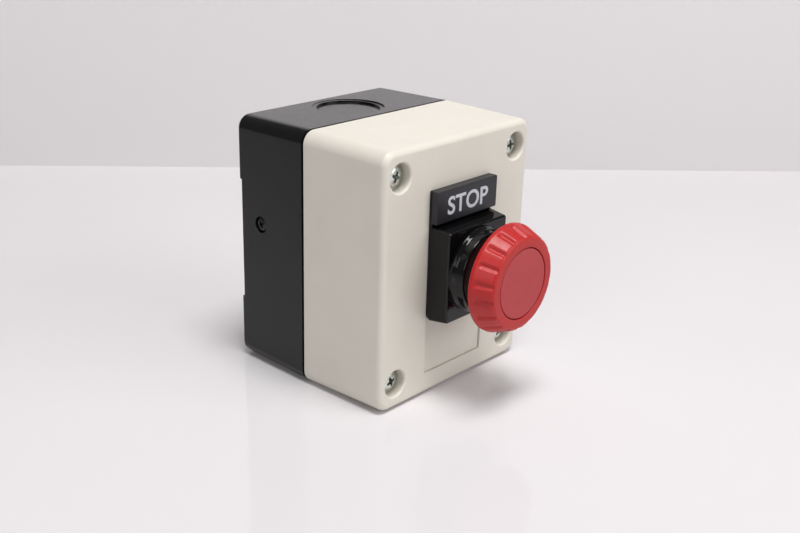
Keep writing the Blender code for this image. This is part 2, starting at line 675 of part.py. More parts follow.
def block_terminals(prefix, frame, rivet_z, upward):
    screw = cross_screw_mesh(prefix + "_screw", 3 * MM, 2 * MM, 1.6 * MM, 6.2 * MM, 12)
    clamp_top = SCREW_TAB_Z - STRIP - GAP
    for end in (-1, 1):
        where = "upper" if end == upward else "lower"
        tip = end * TERMINAL_Y
        strip = terminal_strip(f"{prefix}_terminal_{where}", frame, end)
        bore = [(0, tip, SCREW_TAB_Z - 5 * MM), (0, tip, SCREW_TAB_Z + MM)]
        cut(strip, cylinder(f"{prefix}_terminal_hole_{end}", 1.9 * MM, *bore, None, frame, 12))
        ends = [(0, end * RIVET_Y, rivet_z[0]), (0, end * RIVET_Y, rivet_z[1])]
        join(strip, cylinder(f"{prefix}_terminal_rivet_{end}", 1.3 * MM, *ends, None, frame, 12))
        low = (-3.2 * MM, tip - 3.2 * MM, clamp_top - STRIP)
        clamp = box(f"{prefix}_clamp_{where}", low, (3.2 * MM, tip + 3.2 * MM, clamp_top), ZINC, frame)
        cut(clamp, cylinder(f"{prefix}_clamp_hole_{end}", 1.9 * MM, *bore, None, frame, 12))
        seat = (0, tip, clamp_top - STRIP - GAP)
        place(f"{prefix}_screw_{where}", screw, ZINC, frame, seat, (math.pi, 0, 0))


def block_plunger(prefix, frame, colour, bridge_z, rivet_z, spring_z):
    """The plunger, the sprung contact bridge through its slot, and the return spring behind it."""
    low, high = (-3.2 * MM, -3.2 * MM, PLUNGER_BACK), (3.2 * MM, 3.2 * MM, -1.5 * MM)
    plunger = box(prefix + "_plunger", low, high, colour, frame)
    tip = (-2 * MM, -2.5 * MM, -2.5 * MM), (2 * MM, 2.5 * MM, 4.7 * MM)
    join(plunger, box(prefix + "_plunger_tip", *tip, None, frame))
    slot = (-2.2 * MM, -5 * MM, bridge_z[0] - GAP), (2.2 * MM, 5 * MM, bridge_z[1] + GAP)
    cut(plunger, box(prefix + "_bridge_slot", *slot, None, frame))
    pocket = [(0, 0, spring_z[0] - GAP), (0, 0, spring_z[1] + GAP)]
    cut(plunger, cylinder(prefix + "_spring_pocket", 1.6 * MM, *pocket, None, frame, 12))
    coil(prefix + "_contact_spring", 1.1 * MM, 0.2 * MM, *spring_z, 3, frame, 8)
    low, high = (-1.9 * MM, -6.8 * MM, bridge_z[0]), (1.9 * MM, 6.8 * MM, bridge_z[1])
    bridge = box(prefix + "_bridge", low, high, BRASS, frame)
    for end in (-1, 1):
        ends = [(0, end * RIVET_Y, rivet_z[0]), (0, end * RIVET_Y, rivet_z[1])]
        join(bridge, cylinder(f"{prefix}_bridge_rivet_{end}", 1.3 * MM, *ends, None, frame, 12))
    back = -BLOCK_DEPTH + BLOCK_WALL + GAP
    coil(prefix + "_return_spring", 2 * MM, 0.25 * MM, back, PLUNGER_BACK - GAP, 5, frame, 8)


def contact_blocks():
    """NC opens as its bridge is pushed back off the strips; NO closes as its bridge is pushed on to them."""
    front = CARRIER_BACK - GAP
    nc = empty("nc_block", (-BLOCK_X, 0, front), (0, 0, math.pi), BUTTON)
    no = empty("no_block", (BLOCK_X, 0, front), (0, 0, 0), BUTTON)
    behind, ahead = CONTACT_TAB_Z - STRIP, CONTACT_TAB_Z
    block_housing("nc", nc)
    block_terminals("nc", nc, (behind - 0.5 * MM, behind + 0.3 * MM), -1)
    nc_bridge, nc_rivets = (behind - 2.1 * MM, behind - 1.3 * MM), (behind - 1.7 * MM, behind - 0.8 * MM)
    block_plunger("nc", nc, RED, nc_bridge, nc_rivets, (-17.1 * MM, nc_bridge[0] - GAP))
    block_housing("no", no)
    block_terminals("no", no, (ahead - 0.3 * MM, ahead + 0.5 * MM), 1)
    closed = ahead + 0.5 * MM + GAP + TRAVEL
    no_bridge, no_rivets = (closed + 0.5 * MM, closed + 1.3 * MM), (closed, closed + 0.9 * MM)
    block_plunger("no", no, GREEN, no_bridge, no_rivets, (no_bridge[1] + GAP, -0.6 * MM))


front_cover()
rear_base()
enclosure_hardware()
bezel_housing()
nameplate()
panel_fixings()
latch_clip()
barrel_pieces()
mushroom_head()
head_pieces()
stem_pieces()
contact_carrier()
contact_blocks()
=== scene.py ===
"""The look of the emergency stop station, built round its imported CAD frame.

Lengths are metres, in the frame's axes: x to the right, y into the box from its front, z up.
"""

import json
import math

import bmesh
import bpy
from mathutils import Matrix, Vector


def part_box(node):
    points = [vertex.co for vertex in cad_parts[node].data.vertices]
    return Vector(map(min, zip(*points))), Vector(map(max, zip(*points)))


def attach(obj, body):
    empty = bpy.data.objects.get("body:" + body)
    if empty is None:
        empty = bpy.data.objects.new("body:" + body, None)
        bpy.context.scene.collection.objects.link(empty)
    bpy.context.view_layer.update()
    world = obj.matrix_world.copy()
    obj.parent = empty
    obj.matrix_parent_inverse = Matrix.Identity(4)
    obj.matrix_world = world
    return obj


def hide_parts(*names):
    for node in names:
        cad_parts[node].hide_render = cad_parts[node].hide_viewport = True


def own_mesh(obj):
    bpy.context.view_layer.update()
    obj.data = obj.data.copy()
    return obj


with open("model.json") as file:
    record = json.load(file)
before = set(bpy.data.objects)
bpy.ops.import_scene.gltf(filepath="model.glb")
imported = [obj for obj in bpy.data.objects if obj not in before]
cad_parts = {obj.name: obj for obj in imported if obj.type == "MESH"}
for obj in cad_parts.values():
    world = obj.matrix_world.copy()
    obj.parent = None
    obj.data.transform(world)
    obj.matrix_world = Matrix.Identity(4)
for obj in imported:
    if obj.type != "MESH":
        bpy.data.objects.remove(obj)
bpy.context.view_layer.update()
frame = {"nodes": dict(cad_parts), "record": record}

MM = 0.001
COVER_LOW, COVER_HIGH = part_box("front_cover")
BASE_LOW, BASE_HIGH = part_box("rear_base")
HEAD_LOW, HEAD_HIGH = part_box("mushroom_head")
BEZEL_LOW, BEZEL_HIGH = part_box("bezel_housing")
HOLDER_LOW, HOLDER_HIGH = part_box("nameplate_holder")
PLATE_LOW, PLATE_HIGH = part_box("legend_plate")
EARTH_LOW, EARTH_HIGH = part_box("earth_screw")

HALF_WIDTH = COVER_HIGH.x
HEIGHT = COVER_HIGH.z
FRONT = COVER_LOW.y
SEAM = (COVER_HIGH.y + BASE_LOW.y) / 2
BACK = BASE_HIGH.y
AXIS_Z = (HEAD_LOW.z + HEAD_HIGH.z) / 2

# Sizes of the box that the frame's boxes don't show
DRAFT = 0.6 * MM  # how far each side draws in from the seam to the front or back
CORNER_R = 5 * MM
FRONT_R = 2.3 * MM
BACK_R = 1.4 * MM
SKIN = 2.5 * MM  # the cover's front wall
SIDE_WALL = 3.5 * MM
POST = 11.8 * MM  # each corner post, across the box
POST_Z = 13.2 * MM  # and up it
COUNTERBORE_R = 5.1 * MM
COUNTERBORE_DEPTH = 5 * MM
BUTTON_HOLE_R = 11.3 * MM
INSERT_HOLE_R = 3.7 * MM
INSERT_HOLE_DEPTH = 13 * MM
LABEL_HALF = 16.2 * MM
LABEL_BOTTOM = 8.9 * MM
LABEL_TOP = 31.5 * MM
LABEL_DEPTH = 0.5 * MM
LABEL_CORNER_R = 0.6 * MM
LABEL_GROOVE = 0.6 * MM  # width of the groove round the label's floor
LABEL_GROOVE_DEPTH = 0.4 * MM  # below that floor
BACK_RECESS = 1.9 * MM
BACK_RECESS_HALF = 23.9 * MM
BACK_WALL = 2.3 * MM
WALL_HOLE_R = 2.4 * MM
WALL_HOLE_UP = 12.5 * MM  # from each end of the box
WALL_HOLE_SKIN = 0.8 * MM  # left uncut at the hole's end
KNOCKOUT_R = 13.9 * MM
KNOCKOUT_DISC_R = 12.2 * MM
KNOCKOUT_LEDGE = 0.4 * MM
KNOCKOUT_DISC = 1.2 * MM
SEAM_GROOVE = Vector((0.8 * MM, 0.65 * MM, 0.8 * MM))  # depth across, width, depth up

# Screws
COVER_SCREW_HEAD = 2.4 * MM
COVER_SCREW_R = 2 * MM
COVER_SCREW_TURNS = (0.35, 1.2, 0.9, 0.15)  # each cross stands as it was left, in radians
EARTH_SCREW_HEAD = 1.3 * MM
EARTH_SCREW_R = 1.5 * MM
EARTH_SCREW_TURN = 0.5

# Bezel, legend and head, measured out from the cover's face
BEZEL_REAR = 1.6 * MM
BEZEL_SQUARE = 9.3 * MM  # the square part's front
BEZEL_CORNER_R = 1.2 * MM
BEZEL_DRAFT = 0.7 * MM  # how far each side draws in towards the front
HEAD_BACK = 20.9 * MM
WORD = "STOP"
WORD_WIDTH = 22.5 * MM
WORD_HEIGHT = 6.7 * MM
WORD_RELIEF = 0.02 * MM
FLUTES = 18
FLUTE_DEPTH = 0.85 * MM
FLUTE_HALF = 4.7  # degrees

SMOOTH_ANGLE = math.radians(32)
BLACK_SPECULAR = 0.32

# The studio: a table, a wall turned about z from facing -Y, and the wall's upper part, which leans back
STUDIO_HALF = 1.5
STUDIO_TURN = math.radians(-43.9)
WALL_DISTANCE = 0.2775  # behind the object's middle
WALL_BEND = 0.14
WALL_HEIGHT = 0.34
WALL_LEAN = 0.055
WALL_COLOUR = (0.70, 0.675, 0.68)
WALL_ROUGHNESS = 0.8
TABLE_COLOUR = (0.71, 0.685, 0.695)
TABLE_ROUGHNESS = 0.07
TABLE_SPECULAR = 0.22

# The photographer's camera: azimuth and elevation of the view, its roll, the lens and the place
CAMERA_AZIMUTH = math.radians(-48.28)
CAMERA_ELEVATION = math.radians(21.05)
CAMERA_ROLL = math.radians(1.64)
CAMERA_LENS = 49.03
CAMERA_PLACE = Vector((-0.29173, FRONT - 0.23234, 0.18960))

# Axes of every turned piece of the button: z points out of the cover's face, y is up
BUTTON = Matrix.Translation((0, FRONT, AXIS_Z)) @ Matrix.Rotation(math.pi / 2, 4, "X")


# ---------------------------------------------------------------- modelling helpers


def filleted(corners, steps=5):
    """An outline's points from (across, along, radius) corners, each radius giving an arc."""
    points = []
    last = len(corners) - 1
    for i, (across, along, radius) in enumerate(corners):
        here = Vector((across, along))
        if radius == 0:
            points.append(here)
            continue
        before = Vector(corners[i - 1][:2]) - here
        after = Vector(corners[0 if i == last else i + 1][:2]) - here
        half = before.angle(after) / 2
        start = before.normalized() * radius / math.tan(half)
        end = after.normalized() * radius / math.tan(half)
        centre = (start + end).normalized() * radius / math.sin(half)
        sweep = math.pi - 2 * half
        for step in range(steps + 1):
            share = step / steps
            first = math.sin((1 - share) * sweep) * (start - centre)
            second = math.sin(share * sweep) * (end - centre)
            points.append(here + centre + (first + second) / math.sin(sweep))
    return [(point.x, point.y) for point in points]


def tidy(bm):
    """One closed surface with its faces outwards."""
    bmesh.ops.remove_doubles(bm, verts=bm.verts, dist=1e-6)
    bmesh.ops.recalc_face_normals(bm, faces=bm.faces)
    if bm.calc_volume(signed=True) < 0:
        bmesh.ops.reverse_faces(bm, faces=bm.faces)
    return bm


def revolved(profile, segments=64):
    """A solid turned about z from (radius, height) points, closed on itself or on the axis."""
    bm = bmesh.new()
    verts = [bm.verts.new((radius, 0, height)) for radius, height in profile]
    pairs = list(zip(verts, verts[1:]))
    if profile[0][0] > 0:
        pairs.append((verts[-1], verts[0]))
    edges = [bm.edges.new(pair) for pair in pairs]
    turn = {"cent": (0, 0, 0), "axis": (0, 0, 1), "angle": 2 * math.pi, "steps": segments}
    bmesh.ops.spin(bm, geom=verts + edges, use_merge=True, **turn)
    return tidy(bm)


def span(edge, axis):
    """How far an edge reaches along an axis."""
    return abs(edge.verts[0].co[axis] - edge.verts[1].co[axis])


def round_edges(bm, edges, radius, segments):
    shape = {"offset": radius, "offset_type": "OFFSET", "segments": segments, "profile": 0.5}
    bmesh.ops.bevel(bm, geom=edges, affect="EDGES", **shape)


def rim(bm, axis, place):
    """The edges that lie in the plane at this place along an axis."""

    def lies(edge):
        return all(abs(vertex.co[axis] - place) < 0.001 * MM for vertex in edge.verts)

    return [edge for edge in bm.edges if lies(edge)]


def block(low, high, axis=None, corner=0.0, rims=(), corner_steps=5, rim_steps=3):
    """A box. The edges along axis get the corner radius; rims holds (place along axis, radius)."""
    bm = bmesh.new()
    bmesh.ops.create_cube(bm, size=1.0)
    low, high = Vector(low), Vector(high)
    for vertex in bm.verts:
        vertex.co = [low[i] + (high[i] - low[i]) * (vertex.co[i] + 0.5) for i in range(3)]
    if corner > 0:
        long = 0.9 * (high[axis] - low[axis])
        round_edges(bm, [edge for edge in bm.edges if span(edge, axis) > long], corner, corner_steps)
    for place, radius in rims:
        round_edges(bm, rim(bm, axis, place), radius, rim_steps)
    return bm


def rod(radius, start, end, segments=32):
    """A round bar from one point to another."""
    start, end = Vector(start), Vector(end)
    bm = bmesh.new()
    size = {"radius1": radius, "radius2": radius, "depth": (end - start).length}
    bmesh.ops.create_cone(bm, cap_ends=True, segments=segments, **size)
    turn = (end - start).to_track_quat("Z", "Y").to_matrix().to_4x4()
    bm.transform(Matrix.Translation((start + end) / 2) @ turn)
    return bm


def mesh_of(bm):
    """A mesh of a bmesh, with its faces outwards. The bmesh is removed."""
    data = bpy.data.meshes.new("mesh")
    if bm.calc_volume(signed=True) < 0:
        bmesh.ops.reverse_faces(bm, faces=bm.faces)
    bm.to_mesh(data)
    bm.free()
    return data


def moved(bm, matrix):
    bm.transform(matrix)
    return bm


def welded(data, distance):
    """The same mesh, with the points nearer than this joined."""
    bm = bmesh.new()
    bm.from_mesh(data)
    bmesh.ops.remove_doubles(bm, verts=bm.verts, dist=distance)
    bm.to_mesh(data)
    bm.free()
    return data


def scene_object(name, data):
    made = bpy.data.objects.new(name, data)
    bpy.context.scene.collection.objects.link(made)
    return made


def baked(made):
    """The mesh of an object with its modifiers applied. The object is removed."""
    bpy.context.view_layer.update()
    graph = bpy.context.evaluated_depsgraph_get()
    data = bpy.data.meshes.new_from_object(made.evaluated_get(graph))
    bpy.data.objects.remove(made)
    return data


def carved(solid, *steps):
    """A mesh: one solid after exact Booleans. steps holds ("DIFFERENCE" or "UNION", bmesh)."""
    grow = Matrix.Scale(1 / MM, 4)
    made = scene_object("carving", mesh_of(moved(solid, grow)))
    helpers = []
    for operation, other in steps:
        helper = scene_object("helper", mesh_of(moved(other, grow)))
        step = made.modifiers.new("step", "BOOLEAN")
        step.operation = operation
        step.object = helper
        step.solver = "EXACT"
        helpers.append(helper)
    data = baked(made)
    for helper in helpers:
        bpy.data.objects.remove(helper)
    data.transform(grow.inverted())
    return data


def reopened(data):
    """A bmesh of a finished mesh, which is removed."""
    bm = bmesh.new()
    bm.from_mesh(data)
    bpy.data.meshes.remove(data)
    return bm


def together(shapes):
    """One bmesh of shapes that don't touch."""
    joined = bmesh.new()
    for shape in shapes:
        data = mesh_of(shape)
        joined.from_mesh(data)
        bpy.data.meshes.remove(data)
    return joined


def less(*cutters):
    """The steps that cut these from a solid."""
    return [("DIFFERENCE", cutter) for cutter in cutters]


def piece(name, shape, look, body, slot, *replaced):
    """A finished piece: smooth shaded, riding on a body, in place of the CAD nodes it replaces."""
    data = shape if isinstance(shape, bpy.types.Mesh) else mesh_of(shape)
    data.name = name
    data.materials.clear()
    data.materials.append(look)
    data.shade_smooth()
    data.set_sharp_from_angle(angle=SMOOTH_ANGLE)
    made = scene_object(name, data)
    even = made.modifiers.new("even_normals", "WEIGHTED_NORMAL")
    even.keep_sharp = True
    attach(made, body)
    if replaced:
        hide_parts(*replaced)
    return made


# ---------------------------------------------------------------- materials


# A Mix node's colour sockets, by number, because its sockets share their names
MIX_UNDER = 6
MIX_OVER = 7
MIX_RESULT = 2


class Graph:
    """A Principled material with short calls for the nodes that the looks below share."""

    def __init__(self, name, colour, roughness, metallic=0.0):
        self.material = bpy.data.materials.new(name)
        self.material.use_nodes = True
        self.nodes = self.material.node_tree.nodes
        self.links = self.material.node_tree.links
        self.surface = self.nodes["Principled BSDF"]
        self.surface.inputs["Metallic"].default_value = metallic
        self.surface.inputs["Roughness"].default_value = roughness
        self.surface.inputs["Base Color"].default_value = (*colour, 1)
        self.place = self.nodes.new("ShaderNodeTexCoord").outputs["Object"]
        self.colour = (*colour, 1)
        self.normal = None

    def noise(self, size, detail=3.0, stretch=(1, 1, 1)):
        """Smooth noise whose features are about size metres across."""
        mapping = self.nodes.new("ShaderNodeMapping")
        mapping.inputs["Scale"].default_value = stretch
        self.links.new(self.place, mapping.inputs["Vector"])
        noise = self.nodes.new("ShaderNodeTexNoise")
        noise.inputs["Scale"].default_value = 1 / size
        noise.inputs["Detail"].default_value = detail
        self.links.new(mapping.outputs["Vector"], noise.inputs["Vector"])
        return noise.outputs["Fac"]

    def ramp(self, value, low, high, start, end):
        """value between low and high, remapped to start and end."""
        ranged = self.nodes.new("ShaderNodeMapRange")
        ends = {"From Min": low, "From Max": high, "To Min": start, "To Max": end}
        for name, number in ends.items():
            ranged.inputs[name].default_value = number
        self.links.new(value, ranged.inputs["Value"])
        return ranged.outputs["Result"]

    def tint(self, factor, colour):
        """Mixes a colour into the base colour where factor is 1."""
        mix = self.nodes.new("ShaderNodeMix")
        mix.data_type = "RGBA"
        self.links.new(factor, mix.inputs["Factor"])
        under, over = mix.inputs[MIX_UNDER], mix.inputs[MIX_OVER]
        if isinstance(self.colour, tuple):
            under.default_value = self.colour
        else:
            self.links.new(self.colour, under)
        over.default_value = (*colour, 1)
        self.colour = mix.outputs[MIX_RESULT]
        self.links.new(self.colour, self.surface.inputs["Base Color"])

    def gloss(self, value, low, high):
        """Lets a 0.35 to 0.65 noise vary the roughness from low to high."""
        self.links.new(self.ramp(value, 0.35, 0.65, low, high), self.surface.inputs["Roughness"])

    def bump(self, height, depth):
        """Adds relief, depth metres high, to any that is there."""
        node = self.nodes.new("ShaderNodeBump")
        node.inputs["Distance"].default_value = depth
        self.links.new(height, node.inputs["Height"])
        if self.normal:
            self.links.new(self.normal, node.inputs["Normal"])
        self.normal = node.outputs["Normal"]
        self.links.new(self.normal, self.surface.inputs["Normal"])

    def painted_recess_shade(self, reach, colour):
        """Painted shade: darkens the colour of what lies within reach of a facing wall, such as the
        floor of a recess.
        """
        shade = self.nodes.new("ShaderNodeAmbientOcclusion")
        shade.inputs["Distance"].default_value = reach
        self.tint(self.ramp(shade.outputs["AO"], 0.75, 0.35, 0, 1), colour)

    def specks(self, spacing, size, colour):
        """Sparse small dust specks."""
        cells = self.nodes.new("ShaderNodeTexVoronoi")
        cells.inputs["Scale"].default_value = 1 / spacing
        self.links.new(self.place, cells.inputs["Vector"])
        self.tint(self.ramp(cells.outputs["Distance"], size, 0.6 * size, 0, 1), colour)


def moulded(name, colour, roughness, shade, grain=0.25 * MM, grain_depth=0.004 * MM, wave=0.02 * MM):
    """Injection-moulded plastic: fine spark grain, slow waviness, faint shade and gloss changes."""
    graph = Graph(name, colour, roughness)
    graph.tint(graph.ramp(graph.noise(14 * MM, 4), 0.4, 0.7, 0, 1), shade)
    graph.gloss(graph.noise(3 * MM, 5), roughness - 0.03, roughness + 0.03)
    graph.bump(graph.noise(9 * MM, 1), wave)
    graph.bump(graph.noise(grain, 2), grain_depth)
    return graph


def cream_plastic():
    graph = moulded("cream_plastic", (0.700, 0.660, 0.585), 0.42, (0.680, 0.640, 0.560))
    graph.surface.inputs["Subsurface Weight"].default_value = 0.06
    graph.surface.inputs["Subsurface Radius"].default_value = (1.6 * MM, 1.2 * MM, 0.8 * MM)
    return graph.material


def black_plastic():
    relief = {"grain": 0.4 * MM, "grain_depth": 0.0006 * MM, "wave": 0.002 * MM}
    graph = moulded("black_plastic", (0.004, 0.004, 0.0043), 0.17, (0.007, 0.007, 0.007), **relief)
    graph.surface.inputs["Specular IOR Level"].default_value = BLACK_SPECULAR
    graph.specks(6 * MM, 0.02, (0.20, 0.20, 0.19))
    return graph.material


def gloss_black_plastic():
    colour, shade = (0.003, 0.003, 0.0035), (0.004, 0.004, 0.004)
    graph = moulded("gloss_black_plastic", colour, 0.08, shade, wave=0.003 * MM)
    graph.surface.inputs["Specular IOR Level"].default_value = BLACK_SPECULAR
    return graph.material


def legend_grey():
    colour, shade = (0.010, 0.010, 0.014), (0.013, 0.013, 0.017)
    return moulded("legend_grey", colour, 0.40, shade, 0.35 * MM, 0.008 * MM).material


def legend_white():
    graph = Graph("legend_white", (0.62, 0.63, 0.68), 0.55)
    graph.tint(graph.ramp(graph.noise(0.5 * MM, 3), 0.45, 0.75, 0, 1), (0.48, 0.49, 0.54))
    graph.bump(graph.noise(0.2 * MM, 2), 0.004 * MM)
    return graph.material


def red_gloss():
    colour, shade = (0.460, 0.010, 0.009), (0.430, 0.008, 0.008)
    graph = moulded("red_gloss", colour, 0.42, shade, wave=0.012 * MM)
    graph.surface.inputs["Subsurface Weight"].default_value = 0.05
    graph.surface.inputs["Subsurface Radius"].default_value = (1.5 * MM, 0.3 * MM, 0.2 * MM)
    return graph.material


def red_matte():
    colour, shade = (0.440, 0.044, 0.050), (0.420, 0.040, 0.046)
    return moulded("red_matte", colour, 0.60, shade, 0.30 * MM, 0.012 * MM).material


def white_acetal():
    return moulded("white_acetal_look", (0.78, 0.78, 0.75), 0.38, (0.74, 0.73, 0.69)).material


def green_nylon():
    return moulded("green_nylon_look", (0.03, 0.28, 0.08), 0.38, (0.025, 0.24, 0.07)).material


def rubber():
    colour, shade = (0.018, 0.018, 0.018), (0.026, 0.025, 0.024)
    return moulded("rubber_look", colour, 0.8, shade, 0.15 * MM, 0.02 * MM).material


def metal(name, colour, stain, roughness, stretch=(1, 1, 1)):
    """Plated or drawn metal: tumbling marks, staining, fine scratches and painted shade in its
    recesses.
    """
    graph = Graph(name, colour, roughness, 1.0)
    graph.tint(graph.ramp(graph.noise(1.2 * MM, 5), 0.42, 0.72, 0, 1), stain)
    # painted shade: the colour is darkened in recesses, such as a screw's cross, where shade falls
    graph.painted_recess_shade(0.6 * MM, (0.02, 0.02, 0.02))
    graph.gloss(graph.noise(0.6 * MM, 4), roughness - 0.08, roughness + 0.14)
    graph.bump(graph.noise(0.35 * MM, 3, stretch), 0.015 * MM)
    return graph.material


LOOKS = {
    "cream_abs": cream_plastic(),
    "black_abs": black_plastic(),
    "gloss_black_nylon": gloss_black_plastic(),
    "legend_grey": legend_grey(),
    "red_abs": red_gloss(),
    "red_matte": red_matte(),
    "white_acetal": white_acetal(),
    "green_nylon": green_nylon(),
    "rubber": rubber(),
    "zinc_plated_steel": metal("zinc_plate", (0.66, 0.69, 0.65), (0.48, 0.53, 0.48), 0.30),
    "black_zinc_steel": metal("black_zinc", (0.055, 0.055, 0.058), (0.025, 0.025, 0.027), 0.30),
    "spring_steel": metal("spring_wire", (0.50, 0.50, 0.51), (0.34, 0.33, 0.33), 0.25),
    "brass": metal("brass_strip", (0.78, 0.57, 0.26), (0.60, 0.40, 0.17), 0.28, stretch=(1, 8, 1)),
}


# ---------------------------------------------------------------- enclosure


def drafted_block(seam, end, end_radius, seam_radius, seam_steps):
    """A solid half of the box, whose four sides draw in from the seam to the end."""
    bm = block((-HALF_WIDTH, min(seam, end), 0), (HALF_WIDTH, max(seam, end), HEIGHT))
    for vertex in bm.verts:
        if abs(vertex.co.y - end) < MM:
            vertex.co.x -= math.copysign(DRAFT, vertex.co.x)
            vertex.co.z -= math.copysign(DRAFT, vertex.co.z - HEIGHT / 2)
    round_edges(bm, [edge for edge in bm.edges if span(edge, 1) > MM], CORNER_R, 12)
    round_edges(bm, rim(bm, 1, end), end_radius, 8)
    round_edges(bm, rim(bm, 1, seam), seam_radius, seam_steps)
    return bm


def cavity(low_y, high_y):
    """The cutters of the inside: two crossed blocks, which leave a post in each corner."""
    wide = HALF_WIDTH - SIDE_WALL
    low, high = SIDE_WALL, HEIGHT - SIDE_WALL
    return [
        block((-wide, low_y, low + POST_Z), (wide, high_y, high - POST_Z), 1, MM),
        block((POST - wide, low_y, low), (wide - POST, high_y, high), 1, MM),
    ]


def screw_places():
    """Where the four cover screws stand, as (x, z), in the order of their names."""
    low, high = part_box("cover_screw_1"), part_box("cover_screw_4")
    near, far = (low[0] + low[1]) / 2, (high[0] + high[1]) / 2
    return [(x, z) for x in (near.x, far.x) for z in (near.z, far.z)]


def sink(radius, depth, lip, floor_r, bore=None, segments=48):
    """A cutter for a round recess, its mouth at z = 0, with a rounded lip and floor edge.

    bore is the (radius, depth) of a narrower hole in its floor.
    """
    angles = [math.radians(20 + 14 * step) for step in range(6)]
    arc = [(radius + lip * (1 - math.sin(a)), -lip * (1 - math.cos(a))) for a in angles]
    rise = 0.5 * MM
    mouth = [(0, rise), (arc[0][0] + (rise - arc[0][1]) / math.tan(angles[0]), rise)]
    bottom = [(0, -depth, 0)]
    if bore:
        bottom = [(bore[0], -depth, 0), (bore[0], -bore[1], 0), (0, -bore[1], 0)]
    floor = filleted([(radius, -lip, 0), (radius, -depth, floor_r), *bottom])[1:]
    return revolved(mouth + arc + floor, segments)


def out_of_front(bm, x, z):
    """Stands a cutter or screw, modelled with z outwards, on the cover's front face."""
    place = Matrix.Translation((x, FRONT, z)) @ Matrix.Rotation(math.pi / 2, 4, "X")
    return moved(bm, place)


def label_recess():
    """The cutters of the shallow recess for a label and of the groove round its floor."""
    low = Vector((-LABEL_HALF, FRONT - MM, LABEL_BOTTOM))
    high = Vector((LABEL_HALF, FRONT + LABEL_DEPTH, LABEL_TOP))
    recess = block(low, high, 1, LABEL_CORNER_R, [(high.y, 0.1 * MM)])
    margin = Vector((LABEL_GROOVE, 0, LABEL_GROOVE))
    deeper = Vector((0, LABEL_GROOVE_DEPTH, 0))
    around = block(low, high + deeper, 1, LABEL_CORNER_R)
    island = block(low + margin, high - margin + 2 * deeper, 1, 0.3 * MM)
    return [recess, reopened(carved(around, *less(island)))]


def cover():
    """The ivory front half of the box."""
    solid = drafted_block(COVER_HIGH.y + 0.05 * MM, FRONT, FRONT_R, 0.25 * MM, 3)
    bore = (2.4 * MM, SEAM + MM - FRONT)
    holes = []
    for x, z in screw_places():
        counterbore = sink(COUNTERBORE_R, COUNTERBORE_DEPTH, 0.9 * MM, 0.3 * MM, bore)
        holes.append(out_of_front(counterbore, x, z))
    holes.append(rod(BUTTON_HOLE_R, (0, FRONT - MM, AXIS_Z), (0, FRONT + SKIN + MM, AXIS_Z), 64))
    inside = cavity(FRONT + SKIN, SEAM + 5 * MM)
    data = carved(solid, *less(*inside, together(holes), *label_recess()))
    piece("cover_shell", data, LOOKS["cream_abs"], "enclosure", "cream_abs", "front_cover")


def knockout(face, outward):
    """The cutter of a knockout: a shallow ledge round a disc that is sunk deeper."""
    outline = filleted(
        [
            (0, 2 * MM, 0),
            (KNOCKOUT_R, 2 * MM, 0),
            (KNOCKOUT_R, -KNOCKOUT_LEDGE, 0.05 * MM),
            (KNOCKOUT_DISC_R, -KNOCKOUT_LEDGE, 0.1 * MM),
            (KNOCKOUT_DISC_R, -KNOCKOUT_DISC, 0.05 * MM),
            (0, -KNOCKOUT_DISC, 0),
        ],
        4,
    )
    flip = Matrix.Identity(4) if outward > 0 else Matrix.Rotation(math.pi, 4, "X")
    return moved(revolved(outline, 96), Matrix.Translation((0, (SEAM + BACK) / 2, face)) @ flip)


def seam_groove():
    """The cutter of the narrow step all round the base, next to the cover."""
    side = HALF_WIDTH - SEAM_GROOVE.x
    near, far = BASE_LOW.y - MM, BASE_LOW.y + SEAM_GROOVE.y
    around = block((-HALF_WIDTH - MM, near, -MM), (HALF_WIDTH + MM, far, HEIGHT + MM))
    low = (-side, near - MM, SEAM_GROOVE.z)
    high = (side, far + MM, HEIGHT - SEAM_GROOVE.z)
    inside = block(low, high, 1, CORNER_R - SEAM_GROOVE.x, corner_steps=12)
    return reopened(carved(around, *less(inside)))


def back_recess():
    """The cutter of the shallow channel across the back, which leaves a pad at each end."""
    low = (-2 * HALF_WIDTH, BACK - BACK_RECESS, HEIGHT / 2 - BACK_RECESS_HALF)
    high = (2 * HALF_WIDTH, BACK + MM, HEIGHT / 2 + BACK_RECESS_HALF)
    return block(low, high, 0, 0.4 * MM)


def insert_hole(x, z):
    """The cutter of a corner post's hole for a threaded insert."""
    return rod(INSERT_HOLE_R, (x, SEAM - MM, z), (x, SEAM + INSERT_HOLE_DEPTH, z), 32)


def wall_hole(z, inner_back):
    """The cutter of a blind wall-screw hole, from the back."""
    hole = sink(WALL_HOLE_R, BACK - inner_back - WALL_HOLE_SKIN, 0.4 * MM, 0.2 * MM, segments=32)
    return moved(hole, Matrix.Translation((0, BACK, z)) @ Matrix.Rotation(-math.pi / 2, 4, "X"))


def earth_hole():
    """The cutter of the stepped hole for the earth screw, in the left side."""
    centre = (EARTH_LOW + EARTH_HIGH) / 2
    place = Matrix.Translation((-HALF_WIDTH + 0.35 * MM, centre.y, centre.z))
    hole = sink(3.1 * MM, 2.1 * MM, 0.3 * MM, 0.15 * MM, (1.8 * MM, 5 * MM), 32)
    return moved(hole, place @ Matrix.Rotation(-math.pi / 2, 4, "Y"))


